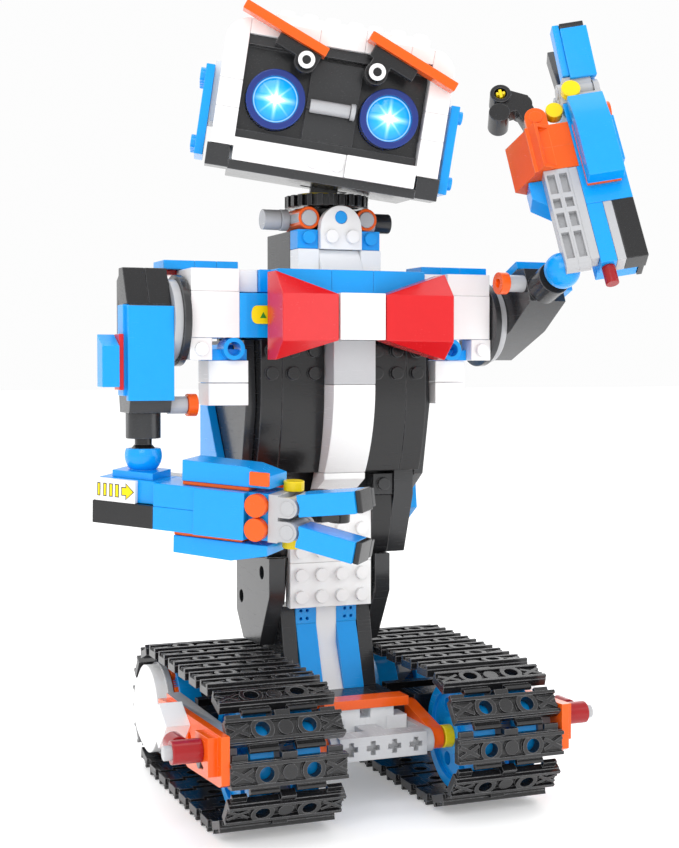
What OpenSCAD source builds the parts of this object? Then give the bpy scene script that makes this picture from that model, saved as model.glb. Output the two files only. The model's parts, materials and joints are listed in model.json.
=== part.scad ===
// Brick-built humanoid robot on two crawler tracks. Millimetres, +Z up, the robot faces -Y.

/* [Brick system] */
// Diameter of a stud
stud_d = 4.8; // [4.6:0.1:5]
// Height of a stud
stud_h = 1.7; // [1.5:0.1:1.8]
// Diameter of an axle or a pin
pin_d = 4.8; // [4.7:0.05:4.85]
// Radial clearance of a running pin in its hole
run_gap = 0.05; // [0.03:0.01:0.1]

/* [Tracks] */
// Width of one track
track_w = 40; // [38:0.5:41]
// Distance from the middle of the robot to the middle of a track
track_x = 40; // [39.5:0.5:42]
// Distance from the middle to each wheel axle along Y
axle_y = 40; // [40:0.01:40.01]
// Height of the wheel axles
axle_z = 24.6; // [24.6:0.01:24.61]
// Radius of a wheel
wheel_r = 18.8; // [17:0.1:19]

/* [Torso] */
// Half width of the chest across the dark curved slopes
chest_w = 32; // [30:0.5:33]
// Height of the shoulder axis
shoulder_z = 170; // [169:0.5:171]
// Half distance between the two torso side faces at the shoulders
shoulder_x = 57.5; // [57.3:0.1:57.6]

/* [Head] */
// Half width of the head frame
head_w = 40; // [39:0.5:40]
// Depth of the head
head_d = 47; // [44:1:48]
// Diameter of a glowing eye
eye_d = 16; // [14:0.5:17]

/* [Hidden] */
$fn = 40;
OX = 6.584; OY = -2.046;
link = 80 / 6;
hr = link / (2 * sin(18));
R = pin_d / 2;
H = R + run_gap;
tread = axle_z - hr;

BLUE = [0.0, 0.47, 0.92]; DBLUE = [0.02, 0.1, 0.6]; WHITE = [0.94, 0.94, 0.93]; DARK = [0.2, 0.2, 0.21];
BLACK = [0.05, 0.05, 0.055]; GREY = [0.62, 0.62, 0.63]; RED = [0.8, 0.03, 0.04]; ORANGE = [1, 0.4, 0.0]; YELLOW = [1, 0.85, 0.0];

// A box from corner to corner
module bx(a, b, c, d, e, f) { translate([a, c, e]) cube([b - a, d - c, f - e]); }
// Cylinders along X, Y and Z
module cx(r, a, b, y, z) { translate([a, y, z]) rotate([0, 90, 0]) cylinder(r = r, h = b - a); }
module cy(r, a, b, x, z) { translate([x, b, z]) rotate([90, 0, 0]) cylinder(r = r, h = b - a); }
module cz(r, a, b, x, y) { translate([x, y, a]) cylinder(r = r, h = b - a); }
// A YZ outline run along X, and an XZ outline run along Y
module px(a, b) { translate([a, 0, 0]) rotate([90, 0, 90]) linear_extrude(b - a) children(); }
module py(a, b) { translate([0, b, 0]) rotate([90, 0, 0]) linear_extrude(b - a) children(); }
// Studs that face up, forward and back
module su(x, y, z) { cz(stud_d / 2, z - 0.5, z + stud_h, x, y); }
module sf(x, y, z) { cy(stud_d / 2, y - stud_h, y + 0.5, x, z); }

// Tracks: one link lies along +Y from its hinge line, outward is +Z
module one_link() {
  w = track_w / 2;
  color(BLACK) difference() {
    union() {
      bx(-w, w, 2.4, link - 2.4, -1, 1.6);
      for (y = [2.6, link - 3.8]) bx(-w, w, y, y + 1.2, 1.5, tread);
      for (s = [-1, 1]) {
        cz(4, 1.5, 2.9, s * 8, link / 2);
        bx(s * 8 - 5, s * 8 + 5, 0.2, 2.5, -1, 0.6);
        cx(1, s * 8 - 5, s * 8 + 5, 0.7, 0);
        translate([s * 16, link / 2, 1.5]) rotate([0, 0, s * 28]) bx(-4, 4, -0.6, 0.6, 0, 1.1);
        translate([s * 16, link / 2, 1.5]) rotate([0, 0, -s * 28]) bx(-4, 4, -0.6, 0.6, 0, 1.1);
      }
      cz(2.6, 1.5, 2.6, 0, link / 2);
      bx(-2.6, 2.6, link - 2.5, link - 0.3, -1, 2);
      for (s = [-1, 1]) bx(s * 16.3 - 2.6, s * 16.3 + 2.6, link - 2.5, link - 0.3, -1, 0.6);
    }
    for (s = [-1, 1]) cz(2.45, -2, 4, s * 8, link / 2);
  }
}
module track_at(x) {
  for (i = [0:5]) {
    translate([x, -axle_y + i * link, axle_z + hr]) one_link();
    translate([x, axle_y - i * link, axle_z - hr]) rotate([180, 0, 0]) one_link();
  }
  for (k = [0:4]) {
    translate([x, axle_y + hr * sin(36 * k), axle_z + hr * cos(36 * k)]) rotate([-18 - 36 * k, 0, 0]) one_link();
    translate([x, -axle_y - hr * sin(36 * k), axle_z - hr * cos(36 * k)]) rotate([162 - 36 * k, 0, 0]) one_link();
  }
}
module track_links_right_shape() { track_at(-track_x); }
module track_links_left_shape() { track_at(track_x); }

// Wheels, with +X pointing out of the robot
module ring(r1, r0, a, b) { difference() { cx(r1, a, b, 0, 0); cx(r0, a - 1, b + 1, 0, 0); } }
module wheel_out(rear) {
  difference() {
    union() {
      color(BLUE) cx(6.5, 28, 51, 0, 0);
      color(BLUE) cx(wheel_r - 3, 29.5, 33, 0, 0);
      color(BLUE) cx(wheel_r - 3, 47, 50.5, 0, 0);
      color(BLUE) ring(wheel_r, wheel_r - 3.2, 28, 36);
      color(BLUE) ring(wheel_r, wheel_r - 3.2, 44, 52);
      color(GREY) for (a = [0:36:359]) rotate([a + 18, 0, 0]) bx(37.5, 42.5, -1.6, 1.6, 6, wheel_r - 1);
      color(GREY) cx(10, 32, 48, 0, 0);
      if (rear) {
        color(ORANGE) for (a = [0:30:359]) rotate([a, 0, 0]) bx(51, 53.5, -2, 2, 10, 17.4);
        color(ORANGE) cx(15.5, 50.5, 53.5, 0, 0);
        color(GREY) cx(17.2, 54, 56, 0, 0);
        color(GREY) cx(6, 53, 57, 0, 0);
        color(WHITE) rotate([0, 90, 0]) rotate_extrude($fn = 96) intersection() { translate([0, 30.5]) circle(r = 34, $fn = 96); translate([0, 55.5]) square([16.4, 12]); }
      }
    }
    cx(R, 20, rear ? 49 : 70, 0, 0);
    if (!rear) for (a = [30:60:359]) rotate([a, 0, 0]) translate([0, 0, 11]) cx(2.45, 20, 34, 0, 0);
    if (!rear) for (a = [30:60:359]) rotate([a, 0, 0]) translate([0, 0, 11.5]) cx(2.45, 46, 60, 0, 0);
  }
}
module at_axle(s, y) { translate([0, y, axle_z]) scale1(s) children(); }
module scale1(s) { if (s > 0) children(); else mirror([1, 0, 0]) children(); }
module front_wheel_right_shape() { at_axle(-1, -axle_y) wheel_out(false); }
module front_wheel_left_shape() { at_axle(1, -axle_y) wheel_out(false); }
module rear_wheel_right_shape() { at_axle(-1, axle_y) wheel_out(true); }
module rear_wheel_left_shape() { at_axle(1, axle_y) wheel_out(true); }
// Axle with its yellow bush beside the wheel
module axle_out(b) {
  color(BLACK) cx(R, 9, b, 0, 0);
  color(YELLOW) ring(4, R, 24.4, 28);
}
module front_axle_right_shape() { at_axle(-1, -axle_y) axle_out(64); }
module front_axle_left_shape() { at_axle(1, -axle_y) axle_out(64); }
module rear_axle_right_shape() { at_axle(-1, axle_y) axle_out(49); }
module rear_axle_left_shape() { at_axle(1, axle_y) axle_out(49); }

// Base
module chassis_frame_shape() {
  color(DARK) difference() {
    union() {
      for (s = [-1, 1]) scale1(s) {
        bx(11, 19, -21, 46, 18, 32);
        cx(7, 11, 19, 44, 25);
        bx(18, 55, -7, 7, 20, 30);
      }
      bx(-12, 12, -12, 44, 18, 21);
      bx(-12, 12, 20, 30, 20, 34);
      bx(-19, 19, -12, 30, 31, 35);
    }
    for (s = [-1, 1]) translate([0, axle_y, axle_z]) scale1(s) cx(H, 5, 30, 0, 0);
    for (s = [-1, 1]) for (y = [-14, 30]) scale1(s) cx(2.4, 10, 20, y, 25);
  }
}
module drive_motors_shape() {
  for (s = [-1, 1]) scale1(s) color(BLACK) {
    bx(24, 54, -18.5, -7, 15, 35);
    bx(24, 50, 7, 11, 16, 34);
    cx(6.4, 22, 50, 13.4, 25);
  }
}
module side_armour_shape() {
  for (s = [-1, 1]) scale1(s) {
    color(ORANGE) difference() {
      px(60, 62.8) polygon([[-62, 22], [-60, 21], [-24, 18.5], [14, 24], [14, 34], [-10, 36], [-62, 37.5]]);
      translate([0, -axle_y, axle_z]) cx(H + 0.2, 55, 70, 0, 0);
      for (y = [-54, -26, -16]) cx(2.45, 61, 64, y, 28.5);
    }
    color(ORANGE) px(62.8, 66) polygon([[-58, 24], [-44, 29.5], [-44, 36], [-58, 36.5]]);
    color(WHITE) px(62.8, 71) polygon([[-6, 30], [-17, 39.5], [-27, 33.5], [-17, 24]]);
    color(GREY) difference() {
      px(55, 60) polygon([[-55, 21.4], [13, 21.4], [13, 36], [-53, 36]]);
      translate([0, -axle_y, axle_z]) cx(H, 50, 70, 0, 0);
      for (y = [-32, -24, -16]) cx(2.45, 50, 62, y, 28.5);
    }
  }
}
module axle_sockets_shape() {
  for (s = [-1, 1]) scale1(s) {
    color(RED) difference() { cx(3.9, 66, 76, -50, 31); cx(R, 65, 80, -50, 31); }
    color(RED) cy(3.4, -46, -38, 72, 31.5);
    color(GREY) cx(R - 0.02, 66, 78.5, -50, 31);
  }
}
module front_bricks_shape() {
  color(WHITE) for (x = [-16:8:8]) bx(x + 0.03, x + 7.97, -29.5, -21.5, 18, 31);
  color(WHITE) for (s = [-1, 1]) scale1(s) bx(2, 10.9, -29.5, -12.05, 31, 34.6);
  color(ORANGE) bx(-16, 16, -31, -23, 34.6, 37.8);
}
module grey_beams_shape() {
  color(GREY) difference() {
    union() {
      for (s = [-1, 1]) scale1(s) {
        bx(16.2, 19, -42, -21, 20.6, 28.6);
        cx(4, 16.2, 19, -42, 24.6);
        bx(8, 16.2, -46, -38, 20.6, 28.6);
      }
      bx(-8, 8, -46, -38, 20.6, 28.6);
      bx(-4, 4, -38, -29.5, 20.6, 28.6);
    }
    translate([0, -axle_y, axle_z]) cx(H, -30, 30, 0, 0);
    for (x = [-12, -4, 4, 12]) { bx(x - 2.4, x + 2.4, -47, -43.2, 23.7, 25.5); bx(x - 0.9, x + 0.9, -47, -43.2, 22.2, 27); }
  }
}
module orange_beams_shape() {
  for (s = [-1, 1]) scale1(s) color(ORANGE) difference() {
    union() {
      px(19, 23.8) polygon([[-41, 20.9], [-41, 28.4], [-20, 33.5], [-16, 33.5], [-16, 26]]);
      cx(3.9, 19, 23.8, -40, 24.6);
    }
    translate([0, -axle_y, axle_z]) cx(H, 10, 30, 0, 0);
  }
}

// Waist and torso
module waist_slopes_shape() {
  color(WHITE) px(-3.95, 3.95) polygon([[0, 35], [20, 35], [20, 65], [8, 65], [8, 51], [1, 35.2]]);
  for (s = [-1, 1]) scale1(s) {
    color(BLUE) px(4, 11.95) polygon([[0, 35], [20, 35], [20, 58.6], [8, 58.6]]);
    color(GREY) difference() { px(4, 12.1) polygon([[8, 58.65], [20, 58.6], [20, 65.3], [8, 65.3]]); for (p = [[7.5, 63.5], [10, 63.5], [7.5, 60.5], [10, 60.5]]) cy(0.6, 5, 12, p[0], p[1]); }
  }
}
module waist_frames_shape() {
  for (s = [-1, 1]) scale1(s) color(DARK) {
    difference() {
      px(12.2, 17.8) polygon([[2, 35.1], [30, 35.1], [30, 65.3], [9, 65.3]]);
      translate([0, -44, 66]) cx(50, 0, 14.9, 0, 0);
    }
    difference() {
      px(17.9, 24) polygon([[15, 50.4], [34, 50.4], [42, 60], [42, 84], [3.5, 84], [3.5, 70]]);
      cx(H, 10, 30, 36, 66);
      cx(H, 10, 30, 12, 78);
    }
    intersection() { px(24.1, 31.9) polygon([[0.05, 84], [37.95, 84], [37.95, 163.8], [0.05, 163.8]]); px(20, 40) polygon([[8, 84], [38, 84], [38, 180], [0, 180], [0, 106.2]]); }
    bx(17.9, 24, 38, 42, 84, 92);
  }
  color(DARK) bx(-40, 40, 12.1, 26, 164.2, 187);
}
module belly_plates_shape() {
  color(WHITE) {
    bx(-16, 16, 3, 6.2, 65.4, 81.9);
    bx(-16, 16, 3, 6.2, 82, 106.2);
    for (x = [-12:8:12]) for (z = [69.4, 77.4, 86, 94, 102]) sf(x, 3, z);
  }
  color(WHITE) bx(-16, 16, 6.2, 8, 65.4, 106.2);
}
module chest_slopes_shape() {
  for (s = [-1, 1]) scale1(s) {
    for (r = [[8, 23.97], [24.03, 32]]) color(BLACK) px(r[0], r[1]) {
      polygon([[-11, 147.6], [-11, 163.6], [0, 163.6], [0, 147.6]]);
      intersection() { translate([74, 147.6]) circle(r = 85, $fn = 200); polygon([[-12, 114.5], [-12, 147.7], [0, 147.7], [0, 116.5]]); }
    }
    for (x = [12, 20, 28]) for (z = [151.6, 159.6]) color(DARK) sf(x, -11, z);
    // lower slope beside the belly plates
    color(DARK) { bx(16.1, 24, 1, 8, 106.4, 114.3); sf(20, 1, 110.4); }
    color(BLACK) px(16.1, 24) intersection() { translate([64, 108]) circle(r = 62.5, $fn = 160); polygon([[0, 84.1], [8, 84.1], [8, 106.3], [0, 106.3]]); }
    color(BLACK) px(16.1, 17.8) polygon([[9, 66], [12, 66], [12, 84], [5, 84]]);
    // dark side wall between the slopes and the blue side panel
    color(DARK) px(32.1, 35.9) polygon([[-4, 163.5], [-6, 140], [0, 114], [36, 88], [37.9, 163.5]]);
  }
}
module chest_centre_shape() {
  color(GREY) bx(-8, 8, -20, 0, 147.6, 163.15);
  color(WHITE) px(-7.95, 7.95) intersection() { translate([37.9, 147.5]) circle(r = 57.9, $fn = 160); polygon([[-22, 115.8], [-22, 147.5], [0, 147.5], [0, 115.8]]); }
  color(WHITE) px(-7.95, 7.95) polygon([[-10.4, 115.7], [0, 115.7], [5, 106.3], [2.9, 106.3], [-10.4, 113.4]]);
}
module battery_box_shape() {
  color(DARK) difference() {
    bx(-24, 24, 8.1, 38, 92.1, 160);
    bx(-22, 22, 10, 36, 94, 158);
    cy(4.3, 30, 40, 0, 150);
  }
}
module battery_cells_shape() {
  color(GREY) for (x = [-14.8, 0, 14.8]) { cz(7.2, 94, 143, x, 24); cz(2.5, 143, 144.5, x, 24); }
}
module power_button_shape() { color(RED) { cy(4, 33, 44.5, 0, 150); cy(5.5, 31, 33.4, 0, 150); } }
module back_cover_shape() {
  color(DARK) difference() {
    union() {
      bx(-32, 32, 38, 41, 92.2, 180);
      for (x = [-24:12:24]) bx(x - 2, x + 2, 40, 42, 96, 140);
      for (x = [-28, 28]) for (z = [104:8:176]) cy(stud_d / 2, 40, 41 + stud_h, x, z);
    }
    cy(4.3, 30, 45, 0, 150);
  }
}
module shoulder_blocks_shape() {
  for (s = [-1, 1]) scale1(s) {
    color(WHITE) difference() { bx(40.1, shoulder_x, -12, 14, 164, 179.95); translate([0, 0, shoulder_z]) cx(H, 42, 60, 0, 0); }
    color(WHITE) bx(40.1, shoulder_x, -12, 14, 180, 187.9);
    color(WHITE) bx(32.1, 40, -8, 12, 180, 187.9);
    color(WHITE) { bx(50, 58, -12, -4, 156.2, 163.9); sf(54, -12, 160); }
    color(WHITE) for (z = [140.3, 148.3]) intersection() { bx(36.2, 49.8, -10, 6, z, z + 7.8); cz(26, z, z + 8, 37, 16); }
    color(BLUE) bx(36.2, 49.8, -8, 6, 156.2, 160);
    color(BLUE) difference() { union() { cy(3.9, -12, -4, 42, 160.1); } cy(2.45, -13, -3, 42, 160.1); }
  }
}
module badge_bricks_shape() {
  for (s = [-1, 1]) scale1(s) color(BLUE) intersection() { bx(24.2, 40, -13, 12, 164, 179.55); cz(30, 163, 181, 32, 16.5); }
}
module collar_beam_shape() {
  for (r = [[-28, -8.03], [-8, 8], [8.03, 28]]) color(BLUE) bx(r[0], r[1], -18, -9.9, 179.6, 188);
  color(BLUE) for (s = [-1, 1]) scale1(s) {
    bx(24.1, 32, -9.8, 12, 180, 188);
    bx(36, 44, 2, 16, 188.1, 191.3);
    bx(44.05, 52, 2, 16, 188.1, 191.3);
    bx(52.05, 63.4, 2, 16, 188.1, 191.3);
  }
  color(RED) for (s = [-1, 1]) scale1(s) bx(57.55, 62, 6, 14, 186.3, 188.05);
  color(WHITE) bx(-24, 24, -9.8, 12, 179.6, 188);
}
module side_panels_shape() {
  for (s = [-1, 1]) scale1(s) {
    color(BLUE) px(36, 39.2) polygon([[39.5, 139], [38, 162], [8, 162], [8, 158], [33, 150], [30, 139], [14, 114], [12, 100], [30, 88], [40, 96]]);
  }
}
module wing() {
  color(RED) polyhedron(points = [[9, -27.4, 179], [9, -27.4, 163], [9, -18.1, 163], [9, -18.1, 179], [32, -34, 178.6], [32, -34, 162.6], [32, -26.5, 186.7], [32, -26.5, 156.2], [32, -18.1, 186.7], [32, -18.1, 156.2]],
    faces = [[0, 4, 5, 1], [0, 6, 4], [0, 3, 8, 6], [4, 6, 8, 9, 7, 5], [1, 5, 7], [1, 7, 9, 2], [3, 2, 9, 8], [0, 1, 2, 3]]);
}
module bow_tie_wings_shape() { wing(); mirror([1, 0, 0]) wing(); }
module bow_tie_knot_shape() { color(WHITE) bx(-8.5, 8.5, -27.8, -18.1, 163.2, 179.5); }

// Neck
module neck_bricks_shape() {
  color(DARK) difference() { union() { bx(-16, 16, 3, 28, 188.1, 203); cz(7, 203, 211.7, 0, 7.5); } cz(H, 190, 213, 0, 7.5); }
  for (s = [-1, 1]) scale1(s) {
    color(BLUE) { bx(8.1, 16, -5, 2.9, 196.2, 203.1); sf(12, -5, 200.2); }
    color(WHITE) bx(8.1, 16, -6, 2.9, 188.1, 196.1);
  }
  color(WHITE) px(-8, 8) polygon([[-9, 188.1], [2.9, 188.1], [2.9, 196], [-4.1, 196]]);
}
module neck_bracket_shape() {
  color(WHITE) {
    difference() {
      py(-7.2, -4) union() { polygon([[-8, 196.1], [8, 196.1], [8, 203.7], [-8, 203.7]]); translate([0, 203.95]) circle(r = 7.85); }
      cy(R, -8, 0, 0, 207.6);
    }
    for (x = [-4, 4]) sf(x, -7.2, 200.6);
  }
}
module neck_pins_shape() {
  for (s = [-1, 1]) scale1(s) {
    color(ORANGE) difference() { cy(4.1, -3.9, 14, 11.2, 207.3); cy(2.9, -5, 15, 11.2, 207.3); }
    color(GREY) cy(2.88, -4.5, 15, 11.2, 207.3);
    color(GREY) cx(3.9, 15.4, 18.4, 8, 207.3);
    color(DARK) cx(3.7, 18.5, 25, 8, 207.3);
  }
  color(BLUE) cy(R - 0.02, -6.9, -3.95, 0, 207.6);
}
module head_at() { translate([-12.24, -22.24, 225.28]) rotate([4.27, 8.61, -15.89]) children(); }
HX = 3.48; HY = 31.97; HZ = -1.13;
module neck_gear_shape() {
  color(BLACK) union() {
    difference() {
      union() {
        cz(13.6, 212, 216.1, 0, 7.5);
        for (a = [0:15:359]) translate([0, 7.5, 0]) rotate([0, 0, a]) bx(12.5, 15.4, -0.95, 0.95, 212, 216.1);
      }
      for (a = [0:60:359]) translate([0, 7.5, 0]) rotate([0, 0, a + 30]) cz(2.4, 211, 214.4, 9.5, 0);
    }
    cz(R, 196, 213, 0, 7.5);
    color(YELLOW) cz(8, 216, 216.95, -3, 7.5);
    head_at() difference() {
      union() { bx(HX - 5, HX + 5, HY - 3, HY + 3, HZ - 10.3, HZ); cy(5, HY - 3, HY + 3, HX, HZ); }
      cy(H, HY - 5, HY + 5, HX, HZ);
    }
  }
}
// Head, in its own frame: front face at y = 0, +y to the back
module head_frame_shape() head_at() {
  color(WHITE) {
    for (s = [-1, 1]) scale1(s) {
      bx(32, head_w, 0, 8, 0.05, 12.77);
      bx(32, head_w, 0, 8, 12.8, 22.37);
      py(0, 8) union() { polygon([[32, 22.4], [head_w, 22.4], [head_w, 35.6], [32, 35.6]]); intersection() { translate([32, 35.6]) circle(r = head_w - 32); polygon([[32, 35.5], [41, 35.5], [41, 45], [32, 45]]); } }
      py(8.05, head_d) difference() {
        union() { polygon([[36.5, 2], [head_w, 2], [head_w, 35.6], [36.5, 35.6]]); intersection() { translate([32, 35.6]) circle(r = head_w - 32); polygon([[32, 35.5], [41, 35.5], [41, 45], [32, 45]]); } }
        translate([31.9, 35.3]) circle(r = 4.6);
      }
      bx(head_w, 42, 12, 36, 8, 29);
    }
    for (r = [[-31.97, -8.03], [-8, 8], [8.03, 23.97], [24, 31.97]]) bx(r[0], r[1], 0, 8, 38.45, 43.6);
    bx(-31.9, 31.9, 8.05, head_d, 40.4, 43.6);
    for (r = [[-24, 7.97], [8, 30]]) bx(r[0], r[1], 2, head_d - 3, 43.65, 46.8);
    for (x = [-20:8:28]) for (y = [6, head_d - 7]) su(x - (x > 4 ? 1 : 0), y, 46.8);
    bx(-32, 7.2, 0, 8, -4.75, 3.15);
    bx(7.25, 32, -1.6, 8, -4.75, 3.15);
    for (x = [-4, 4]) sf(x, 0, -0.9);
    bx(-36, 36, head_d - 3, head_d, -4.7, 40.3);
  }
}
module head_shell_shape() head_at() {
  color(DARK) difference() {
    union() {
      bx(-31.95, 31.95, 8.05, 11, 3.2, 38.4);
      bx(-9, 9, 5, 8.1, 6.4, 34);
      bx(-31.95, 31.95, 4.5, 8.1, 3.2, 6.3);
      bx(-31.95, 31.95, 2.5, 8.1, 35.2, 38.4);
      for (s = [-1, 1]) scale1(s) bx(33, 36.4, 11, head_d - 3.1, 0, 34);
      for (s = [-1, 1]) scale1(s) bx(30, 36.4, 8.1, 11, 3.2, 34);
    }
    for (x = [-20, 20]) cy(10.4, 0, 20, x, 18);
    for (x = [-12, 12.4]) cy(R, 0, 20, x, 31.6);
    cx(2.4, -9.5, 9.5, 3.2, 18);
  }
}
module head_base_shape() head_at() {
  color(DARK) difference() {
    union() {
      bx(-33, 33, 0.5, head_d, -8, -4.8);
      for (s = [-1, 1]) scale1(s) bx(33, 41, 1, 15, -7.6, 0);
      for (s = [-1, 1]) bx(HX - 5, HX + 5, HY + s * 5 - 1.6, HY + s * 5 + 1.6, -6, HZ + 5);
    }
    bx(HX - 8.6, HX + 8.6, HY - 3.4, HY + 3.4, -9, 9);
    cy(H, HY - 8, HY + 8, HX, HZ);
  }
}
module head_hinge_pin_shape() head_at() { color(GREY) cy(R, HY - 7, HY + 7, HX, HZ); }
module eye_rings_shape() head_at() {
  color(DBLUE) for (x = [-20, 20]) difference() { cy(10.3, 1.2, 12, x, 18); cy(eye_d / 2, 0, 6, x, 18); cy(6, 0, 20, x, 18); }
}
module eye_lenses_shape() head_at() {
  color([0.5, 0.9, 1]) for (x = [-20, 20]) intersection() { cy(eye_d / 2 - 0.05, 1.6, 6, x, 18); translate([x, 22, 18]) sphere(r = 20.4, $fn = 60); }
}
module face_rods_shape() head_at() {
  color(GREY) { cx(2.35, -7.9, 6.2, 2.6, 18); cx(2.9, 6.3, 8, 2.0, 18); }
  for (x = [-12, 12.4]) {
    color(BLACK) cy(R, -8.2, 11, x, 31.6);
    color(WHITE) difference() { cy(2.9, -9.2, -8.25, x, 31.6); cy(1.5, -10, -8, x, 31.6); }
  }
}
// Brow: pin at the origin, bar lowest point h above it, from x = a to x = b
module brow(a, b, h, p, q) {
  color(ORANGE) bx(a, b, -8.1, -0.4, h, h + 3.2);
  color(BLACK) difference() {
    union() { bx(p, q, -5.4, -0.6, h - 4.2, h - 0.02); cy(4, -5.4, -0.6, 0, 0); bx(-3.5, 3.5, -5.4, -0.6, 0, h - 0.02); }
    cy(H, -9, 0, 0, 0);
  }
}
module right_eyebrow_shape() head_at() translate([-12, 0, 31.6]) rotate([0, 21, 0]) brow(-27, 5, 4.2, -12, 4);
module left_eyebrow_shape() head_at() translate([12.4, 0, 31.6]) rotate([0, 21.5, 0]) brow(-8, 26, 8.2, -5, 12);
module ear_plates_shape() head_at() {
  for (s = [-1, 1]) scale1(s) color(BLUE) {
    bx(42.05, 45.2, 8, 39.9, -4.3, 27);
    for (z = [0, 7.8, 15.6, 23.4]) for (y = [12, 20, 28, 36]) if (z < 1 || z > 20) cx(stud_d / 2, 45, 45.2 + stud_h, y, z);
  }
}

// Arms. Upper arm frame: origin on the shoulder axis at the torso face, +X out of the robot, arm hangs along -Z
BALL = 47;
EL = 12.4;
// Ball centre of the raised arm in the forearm's frame
BL = [-8.8, 17, -13.5];
module upper_arm(ex) {
  color(DARK) { cx(R, -12, 1.5, 0, 0); cx(16, 0.6, 3.2, 0, 0); }
  color(GREY) cx(14.6, 3.25, 6.2, 0, 0);
  color(BLACK) for (r = [[6.4, 14.17], [14.23, 22]]) px(r[0], r[1]) polygon([[2, 18], [-3.5, 18], [-10, 5.2], [2, 5.2]]);
  color(DARK) difference() {
    px(6.3, 21) polygon([[2.05, 18], [9, 14], [9, -14], [5, -32], [-8, -32], [-9.9, -27], [-9.9, 5.1], [2.05, 5.1]]);
    cx(R, 18, 22, 4, 6);
  }
  color(BLUE) bx(6.25, 22.4, -13, -9.95, -27.7, 4.6);
  color(BLUE) bx(21.05, 23.37, -9.9, -2, -26, 5);
  color(RED) bx(23.4, 25, -11, -4, -24, -5);
  color(BLUE) px(25.03, 31) polygon([[-12, -23], [-4, -23], [-4, -5], [-12, -9]]);
  // cross pin with the orange cap
  color(GREY) cx(3.1, -0.6, 6.2, -3, -29.5);
  color(ORANGE) difference() { cx(4, -4.2, -0.7, -3, -29.5); cx(1.6, -5, -3, -3, -29.5); }
  // elbow post, bored for the ball's stem
  color(DARK) difference() { cz(6.1, -41, -32.02, ex, 0); cz(3.0 + run_gap, -42, -33.5, ex, 0); }
}
// Ball and stem, origin at the ball centre, stem along +Z
module elbow_ball() {
  color(BLACK) { sphere(r = 4.9, $fn = 48); cz(3.0, 3, 13.2, 0, 0); }
}
// Cup round the ball, opening along +Z
module cup(c) {
  color(c) difference() {
    sphere(r = 6.5, $fn = 48);
    sphere(r = 5.25, $fn = 48);
    bx(-8, 8, -8, 8, 2.6, 9);
    translate([0, 0, 0]) cylinder(r1 = 3, r2 = 6.5, h = 4);
  }
}
// Forearm frame: +X to the fingers, bricks below z = -7
module forearm_blue() {
  color(BLUE) {
    bx(-11.5, 10.95, -9.9, 4.9, -14.95, -7);
    bx(-13, 10.95, -0.9, 4.9, -23, -15);
    bx(11, 26.95, -12, 4.9, -14.95, -7);
    bx(11, 26.95, -12, 4.9, -23, -15);
    bx(27, 46, -13, 3.95, -23, -7);
    py(-10, 3) polygon([[21, -5.5], [21, 1.6], [45, 1.2], [54, -1.2], [54, -5.5]]);
    py(-10, 3) polygon([[18, -24.5], [18, -30.5], [40, -31], [53.5, -28], [53.5, -24.5]]);
    pz_(-16.9, -7.5) polygon([[12, 11.55], [26.9, 11.55], [26.9, 22], [20, 22]]);
    bx(46.05, 54, -9.9, 4, -22.9, -7.1);
  }
}
module pz_(a, b) { translate([0, 0, a]) linear_extrude(b - a) children(); }
module forearm_trim(raised) {
  // grey beams: two rows of open cells on the outer side, and a plain strip
  color(GREY) difference() {
    union() {
      for (y = [8.2, 12.65]) { bx(-10.8, 26.9, y, y + 4.4, -23, -17); cy(3, y, y + 4.4, -10.5, -20); }
      bx(-11, 26.9, 4.95, 8.15, -23, -17);
      bx(2.5, 26.9, 4.95, 11.5, -16.95, -7);
    }
    for (y = [9, 13.4]) { bx(-9.5, 1, y, y + 2.8, -24, -20.5); bx(3, 9, y, y + 2.8, -24, -20.5); bx(11, 15, y, y + 2.8, -24, -20.5); bx(17, 25, y, y + 2.8, -24, -20.5); }
    if (raised) translate(BL) sphere(r = 6.55, $fn = 48);
  }
  color(WHITE) bx(-12, 4, -12, -9.95, -15, -7.1);
  color(BLACK) bx(-13, 10.95, -12, -4.2, -23, -15.05);
  color(GREY) bx(-13, 10.95, -4.15, -0.95, -23, -15.05);
  color(ORANGE) {
    bx(21, 46, -9.5, 3, -6.95, -5.55);
    bx(18, 44, -9.5, 3, -24.45, -23.05);
    bx(47, 54, -11.5, -10.04, -4.5, 0);
    bx(27.05, 36.45, 4, 19.95, -23, -7);
    bx(36.5, 46, 4, 19.95, -23, -7);
    for (z = [-11, -19]) cy(3.9, -13, -9.95, 50, z);
  }
  color(ORANGE) translate([27.05, 20, -7]) rotate([-32, 0, 0]) difference() { bx(0, 18.9, 0, 7.5, -18, 0); bx(1.5, 17.4, 1.5, 6.2, -19, -13); }
  color(RED) cx(R, -20, -13.05, 2, -19);
  color(YELLOW) { cz(3.5, -6.95, -3.6, 57.8, 0.5); cz(3.5, -26.4, -23.05, 57.8, 0.5); }
  color(GREY) difference() {
    union() {
      bx(54.05, 57.5, -11, 4, -23, -7);
      for (z = [-11, -19]) for (y = [[-11, -9], [2.2, 4.2]]) { bx(57.4, 61, y[0], y[1], z - 3.4, z + 3.4); cy(3.4, y[0], y[1], 61, z); }
    }
    for (z = [-11, -19]) cy(R, -12, 5, 61, z);
  }
  color(BLACK) for (z = [-11, -19]) cy(R, -11.4, 4.6, 61, z);
}
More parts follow.
